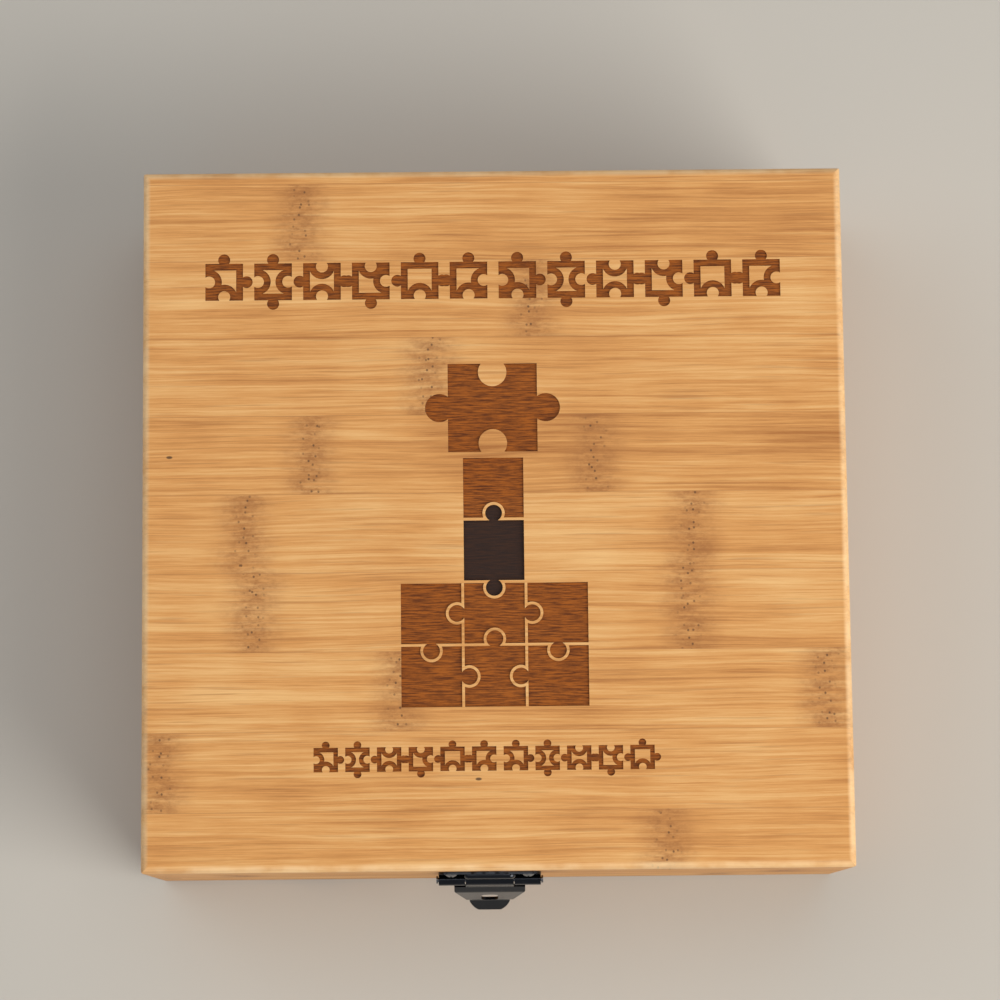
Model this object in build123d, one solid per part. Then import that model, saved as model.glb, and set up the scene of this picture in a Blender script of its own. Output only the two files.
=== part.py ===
from build123d import *

import os
from math import asin, atan2, cos, degrees, hypot, pi, radians, sin, sqrt
from random import Random

# A square hinged bamboo box that holds a thousand-piece jigsaw puzzle.
#
# Millimetres, +Z up. The origin is the centre of the underside. The latch faces -Y and the hinges are at +Y.
# The lid turns about the two hinge pins at the back. The hasp tongue turns about a pin on the lid's front.
# The tongue is modelled resting on the tip of the catch stud, so it is clear of the stud when the lid lifts.

# ---- Overall sizes
box_width = 205.0
box_depth = 205.0
box_height = 72.0
lid_height = 22.0  # from the parting line to the top
parting_gap = 0.4  # the saw line between lid and base
wall = 8.0
lid_panel_thickness = 6.0
base_panel_thickness = 5.0

# ---- Edges and corner joints
top_round = 2.2  # round-over of the lid's top edges
foot_round = 1.5  # round-over of the underside's edges
rim_ease = 0.4  # the slight softening along the parting line
corner_ease = 1.0  # the upright corners
base_finger_count = 7
lid_finger_count = 3

# ---- Engraving in the lid
burn_depth = 0.4
deep_burn_depth = 0.8
engraving_margin = 10.0  # bare wood left at the ends of the upper row
upper_row_pitch = 14.3
upper_row_piece = 11.0
upper_row_y = 69.5
lower_row_count = 11
lower_row_pitch = 9.1
lower_row_piece = 7.0
lower_row_x = -3.9
lower_row_y = -70.5
upper_row_stroke = 2.0
lower_row_stroke = 1.3
emblem_pitch = 18.3
emblem_line = 0.8  # width of the bare line between engraved pieces
emblem_x = -0.5
emblem_foot_y = -56.0
plinth_columns = 3
plinth_rows = 2
column_rows = 2  # pieces stacked on the plinth's middle
crown_pitch = 26.0  # the large piece at the top
crown_gap = 1.4

# ---- Sheet metal, pins and screws
sheet = 0.8
knuckle_radius = 1.7
pin_radius = 0.7
pin_clearance = 0.05
knuckle_gap = 0.2  # between neighbouring knuckles, along the pin
knuckle_stand_off = 0.3  # between a knuckle and the wood
axis_out = knuckle_radius + knuckle_stand_off  # from the wood to the pin's axis
knuckle_relief = 0.2  # cut back between a sheet's edge and the other sheet's knuckle
pin_head_radius = 1.1
pin_head_length = 0.5
screw_head_radius = 1.8
screw_head_height = 0.7
screw_shank_radius = 0.9
screw_clearance = 0.05
screw_point_cover = 1.8  # wood left beyond the screw's point
cross_slot_width = 0.5
cross_slot_depth = 0.4

# ---- Back hinges
hinge_inset = 40.0  # from the box's side to the hinge's centre
hinge_width = 22.0
hinge_leaf_height = 9.5
hinge_leaf_round = 1.5
hinge_middle_share = 0.4  # part of the width that the lid's knuckle takes
hinge_screw_spacing = 13.0
hinge_screw_height = 5.9

# ---- Front latch
latch_x = -2.6
hasp_width = 29.7
hasp_height = 11.5  # above the pin's axis
hasp_axis_rise = 2.8  # above the parting line
hasp_wing_round = 3.0
hasp_crown_radius = 9.0
hasp_crown_rise = 1.8
hasp_middle = 14.0  # the tongue's knuckle
hasp_screw_spacing = 22.4
hasp_screw_height = 6.2
boss_width = 15.0
boss_height = 6.4
boss_rise = 1.3
boss_z = 6.9
tongue_sheet = 0.9
tongue_width = 20.7
tongue_lip_width = 11.9
tongue_shoulder = 2.1  # below the axis, where the tongue is at its widest
tongue_waist_margin = 2.5  # from the slot down to where the lip starts
tongue_lip_length = 4.0
tongue_bulge = 2.2  # how far its sheet stands out from the axis
tongue_lip_out = 3.6
tongue_bend = 2.0
tongue_rest_gap = 0.35  # between the resting tongue and the tip of the stud
slot_width = 4.9
slot_height = 6.2
stud_drop = 11.0  # below the tongue's axis
stud_neck_radius = 1.3
stud_head_radius = 2.0
stud_reach = 5.7  # from the wood to the tip of the head
stud_head_length = 1.1
catch_width = 25.0
catch_top_gap = 1.6  # below the parting line
catch_height = 17.5
catch_round = 4.0
catch_screw_spacing = 16.5
catch_screw_height = 4.2  # above the catch plate's lower edge

# ---- Jigsaw pieces
piece_pitch = 17.0
piece_thickness = 1.8
knob_radius = 2.7
knob_centre = 1.6  # beyond the piece's side
knob_wander = 1.2  # how far a knob may sit off the middle of its side
piece_fit = 0.1  # clearance all round a piece
piece_count = 1000
loose_count = 206  # the uppermost ones, each a solid of its own
settled_packing = 0.55  # share of the space that the settled pieces fill
contents_gap = 1.0  # between the contents and the walls
rest_gap = 0.25  # between things that lie on each other
rim_clearance = 5.0  # free height left under the rim
picture_up_share = 0.62
edge_piece_share = 0.12
corner_piece_places = (170, 200)  # which of the loose pieces are corners
drop_cell = 1.0  # grid on which the heap's height is kept
drop_tries = 12  # places looked at for each piece, of which it takes the lowest
place_tries = 8  # times that a piece which would stand too high is laid elsewhere
scatter_seed = 41

# ---- Worked out from the above
tongue_waist = stud_drop + slot_height / 2 + tongue_waist_margin
tongue_length = tongue_waist + tongue_lip_length
half_width = box_width / 2
half_depth = box_depth / 2
parting = box_height - lid_height
rim = parting - parting_gap / 2
lid_foot = parting + parting_gap / 2
rail_top = box_height - lid_panel_thickness
inside_width = box_width - 2 * wall
inside_depth = box_depth - 2 * wall
screw_length = wall - screw_point_cover
bore_radius = pin_radius + pin_clearance
hasp_axis_z = parting + hasp_axis_rise
piece_reach = piece_pitch * sqrt(0.5) + knob_centre + knob_radius
room_x = inside_width - 2 * contents_gap
room_y = inside_depth - 2 * contents_gap
settled_bottom = base_panel_thickness + rest_gap
settled_volume = (piece_count - loose_count) * piece_pitch**2 * piece_thickness / settled_packing
settled_top = settled_bottom + settled_volume / (room_x * room_y)


def save(name, shapes):
    """Write one node's solids to its own file."""
    solids = [solid for shape in shapes for solid in shape.solids()]
    print(name, len(solids))
    export_step(solids[0] if len(solids) == 1 else Compound(children=solids), f"parts/{name}.step")


# ---- Wood

def rounded_profile(width, low, high, low_round, high_round):
    """An upright rectangle in XZ with one radius on its lower corners and one on its upper corners."""
    face = Pos(0, 0, (low + high) / 2) * (Plane.XZ * Rectangle(width, high - low))
    face = fillet(face.vertices().group_by(Axis.Z)[0], low_round)
    return fillet(face.vertices().group_by(Axis.Z)[-1], high_round)


def envelope(low, high, low_round, high_round):
    """The outside of the box between two heights: round-overs above and below, and eased upright corners."""
    across = extrude(rounded_profile(box_width, low, high, low_round, high_round), box_depth / 2, both=True)
    along = extrude(rounded_profile(box_depth, low, high, low_round, high_round), box_width / 2, both=True)
    plan = extrude(Pos(0, 0, low) * RectangleRounded(box_width, box_depth, corner_ease), high - low)
    return across & (Rot(0, 0, 90) * along) & plan


def corner_fingers(low, high, count, first):
    """The corner blocks of every other finger, counted from the bottom, that one pair of boards gives up."""
    step = (high - low) / count
    blocks = []
    for index in range(first, count, 2):
        for side_x in (-1, 1):
            for side_y in (-1, 1):
                x = side_x * (half_width - wall / 2)
                y = side_y * (half_depth - wall / 2)
                blocks.append(Pos(x, y, low + (index + 0.5) * step) * Box(wall, wall, step))
    return blocks


def four_walls(low, high, count, outside):
    """Front, back, left and right boards, finger jointed at the corners."""
    middle = (low + high) / 2
    long_board = Box(box_width, wall, high - low)
    side_board = Box(wall, box_depth, high - low)
    long_notches = corner_fingers(low, high, count, 1)
    side_notches = corner_fingers(low, high, count, 0)
    front = ((Pos(0, wall / 2 - half_depth, middle) * long_board) - long_notches) & outside
    back = ((Pos(0, half_depth - wall / 2, middle) * long_board) - long_notches) & outside
    left = ((Pos(wall / 2 - half_width, 0, middle) * side_board) - side_notches) & outside
    right = ((Pos(half_width - wall / 2, 0, middle) * side_board) - side_notches) & outside
    return front, back, left, right


# ---- Jigsaw shapes

no_wander = (0, 0, 0, 0)


def jigsaw_face(pitch, sides, line, radius, centre, wander):
    """A jigsaw piece's outline. sides gives right, top, left and bottom: 1 for a knob, -1 for a socket, 0 for
    straight. line is the width left free between neighbours, and wander each knob's place along its side."""
    half = pitch / 2
    face = Rectangle(pitch - line, pitch - line)
    for index, kind in enumerate(sides):
        turn = Rot(0, 0, 90 * index)
        along = wander[index]
        if kind > 0:
            face += turn * (Pos(half + centre, along) * Circle(radius - line / 2))
        if kind < 0:
            face -= turn * (Pos(half - centre, along) * Circle(radius + line / 2))
    return face


def small_piece_sides(index):
    """Knobs and sockets of a row's separate pieces: each differs from its neighbours."""
    patterns = ((1, 1, -1, -1), (-1, 1, -1, 1), (1, -1, 1, -1), (-1, -1, 1, 1), (1, 1, 1, -1), (-1, 1, 1, -1))
    return patterns[index % len(patterns)]


def small_piece(sides, size, stroke):
    """The outline of one small jigsaw piece, drawn with a stroke of even width and solid knobs."""
    radius = 0.16 * size
    centre = 0.6 * radius
    inner = Rectangle(size - 2 * stroke, size - 2 * stroke)
    for index, kind in enumerate(sides):
        if kind < 0:
            inner -= Rot(0, 0, 90 * index) * (Pos(size / 2 - centre, 0) * Circle(radius + stroke))
    return jigsaw_face(size, sides, 0, radius, centre, no_wander) - inner


def row_of_pieces(count, pitch, size, stroke):
    """A row of separate jigsaw pieces about the origin, spaced like a line of type."""
    left_x = -pitch * (count - 1) / 2
    row = []
    for index in range(count):
        shape = small_piece(small_piece_sides(index), size, stroke)
        row.append(Pos(left_x + index * pitch, 0) * shape)
    return row


def emblem_cells():
    """A pedestal of interlocking pieces, with a plinth and a column, and one large piece on top.
    Returns the shallow cells and the deep ones: the column's lower piece is burnt deepest."""
    shallow, deep = [], []
    radius = 0.155 * emblem_pitch
    middle = plinth_columns // 2
    heights = [plinth_rows + (column_rows if column == middle else 0) for column in range(plinth_columns)]
    for column, height in enumerate(heights):
        for row in range(height):
            knob = 1 if (column + row) % 2 == 0 else -1
            right = knob if column + 1 < plinth_columns and row < heights[column + 1] else 0
            left = knob if column > 0 and row < heights[column - 1] else 0
            top = -knob if row + 1 < height else 0
            bottom = -knob if row > 0 else 0
            sides = (right, top, left, bottom)
            cell = jigsaw_face(emblem_pitch, sides, emblem_line, radius, 0.6 * radius, no_wander)
            x = emblem_x + (column - middle) * emblem_pitch
            y = emblem_foot_y + (row + 0.5) * emblem_pitch
            (deep if row == plinth_rows else shallow).append(Pos(x, y) * cell)
    crown_radius = 0.16 * crown_pitch
    crown = jigsaw_face(crown_pitch, (1, -1, 1, -1), 0, crown_radius, 0.6 * crown_radius, no_wander)
    crown_y = emblem_foot_y + heights[middle] * emblem_pitch + crown_gap + crown_pitch / 2
    shallow.append(Pos(emblem_x, crown_y) * crown)
    return shallow, deep


def engraved(panel):
    """Cut the two rows and the emblem into the lid's top."""
    upper_count = int((box_width - 2 * engraving_margin) // upper_row_pitch)
    upper = row_of_pieces(upper_count, upper_row_pitch, upper_row_piece, upper_row_stroke)
    lower = row_of_pieces(lower_row_count, lower_row_pitch, lower_row_piece, lower_row_stroke)
    rows = [Pos(0, upper_row_y) * face for face in upper]
    rows += [Pos(lower_row_x, lower_row_y) * face for face in lower]
    shallow, deep = emblem_cells()
    for faces, depth in ((rows + shallow, burn_depth), (deep, deep_burn_depth)):
        panel -= [extrude(Pos(0, 0, box_height) * face, -depth) for face in faces]
    return panel


# ---- Metal. Each piece is drawn on a wood face at y = 0 that looks towards +Y, with the pin's axis at z = 0.

def along_x(radius, x_from, x_to, out, height=0):
    """A round bar along X, from one x to another."""
    bar = Rot(0, 90, 0) * Cylinder(radius, x_to - x_from)
    return Pos((x_from + x_to) / 2, out, height) * bar


def along_y(radius, y_from, y_to):
    """A round bar along Y, from one y to another."""
    return Pos(0, (y_from + y_to) / 2, 0) * Rot(90, 0, 0) * Cylinder(radius, y_to - y_from)


def knuckles(spans, direction):
    """Rolled knuckles on the given spans of x, with the tabs that join them to the sheet."""
    rolled = []
    tab_height = knuckle_radius + knuckle_relief
    for x_from, x_to in spans:
        tab = Box(x_to - x_from, sheet, tab_height)
        tab = Pos((x_from + x_to) / 2, sheet / 2, direction * tab_height / 2) * tab
        rolled += [along_x(knuckle_radius, x_from, x_to, axis_out), tab]
    return rolled


def pin_bore(width):
    """The space that the pin and its running clearance take."""
    return along_x(bore_radius, -width, width, axis_out)


def screw_places(spacing, height):
    return [(-spacing / 2, height), (spacing / 2, height)]


def screw():
    """A small round-headed screw with a cross slot, its head on y = 0 and its shank towards -Y."""
    dome_radius = (screw_head_radius**2 + screw_head_height**2) / (2 * screw_head_height)
    ball = Pos(0, screw_head_height - dome_radius, 0) * Sphere(dome_radius)
    head = ball & along_y(screw_head_radius, 0, screw_head_height)
    shank = along_y(screw_shank_radius, -screw_length, 0)
    slot_y = screw_head_height - cross_slot_depth / 2
    long_slot = Pos(0, slot_y, 0) * Box(screw_head_radius * 1.2, cross_slot_depth, cross_slot_width)
    return head + shank - long_slot - (Rot(0, 90, 0) * long_slot)


def screw_hole(reach):
    """The hole that a screw's shank needs, through a sheet at y = 0 and into the wood behind it."""
    return along_y(screw_shank_radius + screw_clearance, -screw_length - screw_clearance, reach)


def hinge_spans():
    """Where the lid's middle knuckle and the base's two outer knuckles lie along the pin."""
    middle = hinge_width * hinge_middle_share / 2
    outer = middle + knuckle_gap
    return [(-middle, middle)], [(-hinge_width / 2, -outer), (outer, hinge_width / 2)]


def hinge_leaf(direction, spans):
    """One leaf of a back hinge. direction is 1 for the lid's leaf and -1 for the base's."""
    low = knuckle_radius + knuckle_relief
    plate = Plane.XZ * RectangleRounded(hinge_width, hinge_leaf_height - low, hinge_leaf_round)
    plate = extrude(Pos(0, 0, direction * (low + hinge_leaf_height) / 2) * plate, -sheet)
    square_end = Box(hinge_width, sheet, hinge_leaf_round)
    square_end = Pos(0, sheet / 2, direction * (low + hinge_leaf_round / 2)) * square_end
    leaf = plate + square_end + knuckles(spans, direction) - pin_bore(hinge_width)
    places = screw_places(hinge_screw_spacing, hinge_screw_height)
    return leaf - [Pos(x, 0, direction * z) * screw_hole(sheet) for x, z in places]


def pin(width):
    """A headed pin, a little longer than its knuckles."""
    body = along_x(pin_radius, -width / 2 - knuckle_gap, width / 2 + knuckle_gap, axis_out)
    heads = []
    for side in (-1, 1):
        inner = side * (width / 2 + knuckle_gap)
        outer = inner + side * pin_head_length
        heads.append(along_x(pin_head_radius, min(inner, outer), max(inner, outer), axis_out))
    return body + heads


def hasp_outline():
    """The upper latch plate: rounded wings and a low crown between them."""
    low = knuckle_radius + knuckle_relief
    plate = Rectangle(hasp_width, hasp_height - low)
    plate = fillet(plate.vertices().group_by(Axis.Y)[-1], hasp_wing_round)
    plate = Pos(0, (low + hasp_height) / 2) * plate
    crown = Pos(0, hasp_height + hasp_crown_rise - hasp_crown_radius) * Circle(hasp_crown_radius)
    keep = Pos(0, hasp_height) * Rectangle(hasp_width, 2 * hasp_crown_rise)
    return plate + (crown & keep)


def hasp_plate():
    """The plate on the lid, with its two outer knuckles and a pressed boss."""
    outer = hasp_middle / 2 + knuckle_gap
    spans = [(-hasp_width / 2, -outer), (outer, hasp_width / 2)]
    plate = extrude(Plane.XZ * hasp_outline(), -sheet)
    boss_outline = Pos(0, boss_z) * RectangleRounded(boss_width, boss_height, boss_height * 0.3)
    boss = extrude(Plane.XZ * boss_outline, -sheet - boss_rise)
    boss = fillet(boss.faces().sort_by(Axis.Y)[-1].edges(), boss_rise * 0.8)
    plate = plate + boss + knuckles(spans, 1) - pin_bore(hasp_width)
    places = screw_places(hasp_screw_spacing, hasp_screw_height)
    return plate - [Pos(x, 0, z) * screw_hole(sheet) for x, z in places]


def tongue_line():
    """The tongue's side view at home: from its knuckle down over the stud, in again and out to the lip."""
    top = knuckle_radius - tongue_sheet / 2
    points = [
        (top, 0),
        (top, -tongue_shoulder),
        (tongue_bulge, -stud_drop + slot_height),
        (tongue_bulge, -stud_drop - slot_height / 2),
        (tongue_bulge - 0.7, -tongue_waist),
        (tongue_lip_out, -tongue_length),
    ]
    return FilletPolyline(*points, radius=tongue_bend)


def tongue_outline():
    """The tongue's front view: the knuckle's neck, wide shoulders, and sides that taper to a rounded lip."""
    half_top = tongue_width / 2
    half_lip = tongue_lip_width / 2
    neck = hasp_middle / 2
    lip_start = -tongue_length + half_lip * 0.6
    right_side = [
        (neck, 0),
        (neck, -tongue_shoulder),
        (half_top, -tongue_shoulder),
        (half_top, -tongue_shoulder * 2),
        (half_lip, -tongue_waist),
        (half_lip, lip_start),
    ]
    left_side = [(-x, z) for x, z in reversed(right_side)]
    lip = ThreePointArc(right_side[-1], (0, -tongue_length - tongue_sheet), left_side[0])
    return make_face(Polyline(*right_side) + lip + Polyline(*left_side, right_side[0]))


def tongue_rest_angle():
    """How far, in degrees, the tongue swings out from home when its sheet rests on the stud."""
    inner = tongue_bulge - tongue_sheet / 2
    reach = stud_reach + tongue_rest_gap - axis_out
    return degrees(asin(reach / hypot(inner, stud_drop)) - atan2(inner, stud_drop))


def tongue():
    """The swinging tongue: a knuckle, a shield-shaped sheet that bulges over the stud, and a flared lip."""
    deep = 2 * tongue_length
    section = make_face(offset(tongue_line(), tongue_sheet / 2, side=Side.BOTH).edges())
    band = extrude(Plane.YZ * section, tongue_width / 2, both=True)
    shield = extrude(Plane.XZ * tongue_outline(), deep, both=True)
    slot = Pos(0, -stud_drop) * RectangleRounded(slot_width, slot_height, slot_width * 0.3)
    roll = along_x(knuckle_radius, -hasp_middle / 2, hasp_middle / 2, 0)
    home = (band & shield) + roll - extrude(Plane.XZ * slot, deep, both=True)
    home = Pos(0, axis_out, 0) * home - pin_bore(hasp_middle)
    return home.rotate(Axis((0, axis_out, 0), (1, 0, 0)), tongue_rest_angle())


def catch_plate(low):
    """The plate on the base, with the hole for its stud. low is its lower edge, from the hasp's axis."""
    outline = RectangleRounded(catch_width, catch_height, catch_round)
    plate = extrude(Plane.XZ * (Pos(0, low + catch_height / 2) * outline), -sheet)
    plate -= stud_bore()
    places = screw_places(catch_screw_spacing, low + catch_screw_height)
    return plate - [Pos(x, 0, z) * screw_hole(sheet) for x, z in places]


def stud_bore():
    """The hole for the stud's neck, through the catch plate and into the front board."""
    depth = screw_length + screw_clearance
    return Pos(0, 0, -stud_drop) * along_y(stud_neck_radius + screw_clearance, -depth, sheet)


def catch_stud():
    """The riveted stud that the tongue's slot goes over: a neck set into the wood and a rounded head."""
    neck = along_y(stud_neck_radius, -screw_length, stud_reach - stud_head_length / 2)
    head = along_y(stud_head_radius, stud_reach - stud_head_length, stud_reach)
    head = fillet(head.edges(), stud_head_length * 0.42)
    return Pos(0, 0, -stud_drop) * (neck + head)


# ---- Contents

class Heap:
    """The heights of the heap on a grid, on which pieces are laid one after another."""

    def __init__(self):
        self.columns = int(room_x / drop_cell)
        self.rows = int(room_y / drop_cell)
        self.heights = [[settled_top] * self.columns for _ in range(self.rows)]

    def under(self, x, y, turn, covers):
        """Grid points that a piece covers at that place and turn: row, column, and x and y from its centre.
        Empty if it would pass the edge of the room."""
        across, along = cos(turn), sin(turn)
        middle_column = (x + room_x / 2) / drop_cell
        middle_row = (y + room_y / 2) / drop_cell
        span = int(piece_reach / drop_cell) + 1
        found = []
        for row in range(int(middle_row) - span, int(middle_row) + span + 1):
            for column in range(int(middle_column) - span, int(middle_column) + span + 1):
                dx = (column + 0.5 - middle_column) * drop_cell
                dy = (row + 0.5 - middle_row) * drop_cell
                if covers(dx * across + dy * along, dy * across - dx * along):
                    if not (0 <= row < self.rows and 0 <= column < self.columns):
                        return []
                    found.append((row, column, dx, dy))
        return found

    def lowest_place(self, chance, covers):
        """Of several places and turns, the one where the heap under the piece is lowest on average."""
        places = []
        while len(places) < drop_tries:
            x = chance.uniform(-room_x / 2, room_x / 2)
            y = chance.uniform(-room_y / 2, room_y / 2)
            turn = chance.uniform(0, 2 * pi)
            under = self.under(x, y, turn, covers)
            if under:
                mean = sum(self.heights[row][column] for row, column, _, _ in under) / len(under)
                places.append((mean, x, y, turn, under))
        return min(places)

    def rest(self, under):
        """Slopes and middle height of the plane on which a flat piece comes to rest on those grid points.
        Of all planes that lie on or over every point, it is the one whose middle is lowest."""
        points = [(dx, dy, self.heights[row][column]) for row, column, dx, dy in under]

        def middle_height(slopes):
            return max(z - slopes[0] * x - slopes[1] * y for x, y, z in points)

        slopes = (0.0, 0.0)
        height = middle_height(slopes)
        step = 0.1
        while step > 0.001:
            turns = [radians(45 * index) for index in range(8)]
            tries = [(slopes[0] + step * cos(turn), slopes[1] + step * sin(turn)) for turn in turns]
            best = min(tries, key=middle_height)
            if middle_height(best) < height - 1e-6:
                slopes, height = best, middle_height(best)
            else:
                step /= 2
        return slopes, height

    def cover(self, under, slopes, top):
        """Raise the heap to the upper face of a piece that has come to rest."""
        for row, column, dx, dy in under:
            self.heights[row][column] = top + slopes[0] * dx + slopes[1] * dy


def piece_cover(sides, wander):
    """A test of whether a point lies on a piece, or within a grid cell's half diagonal of it."""
    margin = drop_cell * sqrt(0.5)
    half = piece_pitch / 2 + margin
    knobs = []
    for index, kind in enumerate(sides):
        if kind > 0:
            turn = radians(90 * index)
            out, along = piece_pitch / 2 + knob_centre, wander[index]
            knobs.append((out * cos(turn) - along * sin(turn), out * sin(turn) + along * cos(turn)))

    def covers(x, y):
        if abs(x) < half and abs(y) < half:
            return True
        return any(hypot(x - knob_x, y - knob_y) < knob_radius + margin for knob_x, knob_y in knobs)

    return covers


def laid_piece(sides, wander, place, slopes, middle):
    """The solid of one piece, lying on that slope with its middle at that point."""
    face = jigsaw_face(piece_pitch, sides, piece_fit, knob_radius, knob_centre, wander)
    x, y, turn = place
    upwards = Vector(-slopes[0], -slopes[1], 1)
    across = Vector(cos(turn), sin(turn), slopes[0] * cos(turn) + slopes[1] * sin(turn))
    lie = Plane(origin=(x, y, middle), x_dir=across, z_dir=upwards)
    return lie * extrude(face, piece_thickness / 2, both=True)


def loose_pieces():
    """The uppermost pieces, each a solid of its own, laid one on another where they come to rest.
    A piece that would stand too near the rim everywhere is left out. Returned by kind."""
    chance = Random(scatter_seed)
    heap = Heap()
    kinds = {"corner_pieces": [], "edge_pieces": [], "picture_up_pieces": [], "picture_down_pieces": []}
    for number in range(loose_count):
        sides = [chance.choice((-1, 1)) for _ in range(4)]
        wander = [chance.uniform(-knob_wander, knob_wander) for _ in range(4)]
        kind = "picture_up_pieces" if chance.random() < picture_up_share else "picture_down_pieces"
        if number in corner_piece_places:
            kind, sides[0], sides[1] = "corner_pieces", 0, 0
        elif chance.random() < edge_piece_share:
            kind, sides[0] = "edge_pieces", 0
        for _ in range(place_tries):
            _, x, y, turn, under = heap.lowest_place(chance, piece_cover(sides, wander))
            slopes, height = heap.rest(under)
            steepness = hypot(*slopes)
            thickness = (piece_thickness + rest_gap) * hypot(1, steepness)
            if height + thickness + piece_reach * steepness < rim - rim_clearance:
                heap.cover(under, slopes, height + thickness)
                kinds[kind].append(laid_piece(sides, wander, (x, y, turn), slopes, height + thickness / 2))
                break
    return kinds


def settled_pieces():
    """The bulk of the puzzle, as one block: the pieces that lie under the loose ones."""
    height = settled_top - settled_bottom
    block = Box(room_x, room_y, height)
    block = fillet(block.edges().filter_by(Axis.Z), contents_gap)
    return Pos(0, 0, settled_bottom + height / 2) * block


# ---- The whole box

def build_box():
    """Make every node and return them by name."""
    nodes = {}
    front = Pos(latch_x, -half_depth, hasp_axis_z) * Rot(0, 0, 180)
    hinge_x = half_width - hinge_inset
    hinges = {"left": Pos(-hinge_x, half_depth, parting), "right": Pos(hinge_x, half_depth, parting)}
    lid_span, base_spans = hinge_spans()
    hinge_places = screw_places(hinge_screw_spacing, hinge_screw_height)
    catch_low = -hasp_axis_rise - catch_top_gap - catch_height
    head_out = Pos(0, sheet, 0)

    lid_hinge_screws = [place * Pos(x, 0, z) for place in hinges.values() for x, z in hinge_places]
    base_hinge_screws = [place * Pos(x, 0, -z) for place in hinges.values() for x, z in hinge_places]
    hasp_places = screw_places(hasp_screw_spacing, hasp_screw_height)
    catch_places = screw_places(catch_screw_spacing, catch_low + catch_screw_height)
    hasp_screws = [front * Pos(x, 0, z) for x, z in hasp_places]
    catch_screws = [front * Pos(x, 0, z) for x, z in catch_places]

    base_outside = envelope(0, rim, foot_round, rim_ease)
    lid_outside = envelope(lid_foot, box_height, rim_ease, top_round)
    base_walls = four_walls(base_panel_thickness, rim, base_finger_count, base_outside)
    lid_rails = four_walls(lid_foot, rail_top, lid_finger_count, lid_outside)
    base_slab = Pos(0, 0, base_panel_thickness / 2) * Box(box_width, box_depth, base_panel_thickness)
    lid_slab = Box(box_width, box_depth, lid_panel_thickness)
    lid_slab = Pos(0, 0, box_height - lid_panel_thickness / 2) * lid_slab

    nodes["base_panel"] = [base_slab & base_outside]
    front_holes = [place * screw_hole(0) for place in catch_screws] + [front * stud_bore()]
    nodes["base_front_wall"] = [base_walls[0] - front_holes]
    nodes["base_back_wall"] = [base_walls[1] - [place * screw_hole(0) for place in base_hinge_screws]]
    nodes["base_left_wall"] = [base_walls[2]]
    nodes["base_right_wall"] = [base_walls[3]]
    nodes["lid_panel"] = [engraved(lid_slab & lid_outside)]
    nodes["lid_front_rail"] = [lid_rails[0] - [place * screw_hole(0) for place in hasp_screws]]
    nodes["lid_back_rail"] = [lid_rails[1] - [place * screw_hole(0) for place in lid_hinge_screws]]
    nodes["lid_left_rail"] = [lid_rails[2]]
    nodes["lid_right_rail"] = [lid_rails[3]]

    for side, place in hinges.items():
        nodes[f"{side}_hinge_lid_leaf"] = [place * hinge_leaf(1, lid_span)]
        nodes[f"{side}_hinge_base_leaf"] = [place * hinge_leaf(-1, base_spans)]
        nodes[f"{side}_hinge_pin"] = [place * pin(hinge_width)]
    nodes["hinge_lid_screws"] = [place * head_out * screw() for place in lid_hinge_screws]
    nodes["hinge_base_screws"] = [place * head_out * screw() for place in base_hinge_screws]

    nodes["hasp_plate"] = [front * hasp_plate()]
    nodes["hasp_pin"] = [front * pin(hasp_width)]
    nodes["hasp_tongue"] = [front * tongue()]
    nodes["hasp_screws"] = [place * head_out * screw() for place in hasp_screws]
    nodes["catch_plate"] = [front * catch_plate(catch_low)]
    nodes["catch_stud"] = [front * catch_stud()]
    nodes["catch_screws"] = [place * head_out * screw() for place in catch_screws]

    nodes["settled_pieces"] = [settled_pieces()]
    nodes.update(loose_pieces())
    return nodes


os.makedirs("parts", exist_ok=True)
for node, shapes in build_box().items():
    save(node, shapes)
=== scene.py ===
# %% [markdown]
# # A boxed jigsaw puzzle
# The box is a square bamboo case with a hinged, engraved lid, and it holds a thousand jigsaw pieces.
# The frame already brings every board, hinge and screw at its real size and place.
# This lesson gives them their looks, and models what a solid can't show: a heap of printed board pieces.
# %% Load the frame
import math

import bmesh
import bpy
import numpy as np
from mathutils import Matrix, Vector


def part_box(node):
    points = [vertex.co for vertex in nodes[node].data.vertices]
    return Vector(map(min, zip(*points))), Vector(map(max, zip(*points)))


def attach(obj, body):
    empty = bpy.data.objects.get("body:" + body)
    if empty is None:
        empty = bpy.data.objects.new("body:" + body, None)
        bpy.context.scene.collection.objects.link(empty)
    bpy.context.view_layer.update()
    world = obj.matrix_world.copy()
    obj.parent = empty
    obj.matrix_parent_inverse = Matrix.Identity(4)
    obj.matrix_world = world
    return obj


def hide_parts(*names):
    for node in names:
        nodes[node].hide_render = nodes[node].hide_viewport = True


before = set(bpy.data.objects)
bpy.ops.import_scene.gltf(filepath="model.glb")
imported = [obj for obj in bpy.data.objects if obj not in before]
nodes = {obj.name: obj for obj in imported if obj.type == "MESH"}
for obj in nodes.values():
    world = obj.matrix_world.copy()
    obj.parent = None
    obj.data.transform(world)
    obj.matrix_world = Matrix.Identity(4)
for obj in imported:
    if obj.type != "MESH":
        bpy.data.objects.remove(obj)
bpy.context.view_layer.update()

MM = 0.001
METRES_TO_MM = (1000.0, 1000.0, 1000.0)
lid_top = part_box("lid_panel")[1].z

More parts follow.
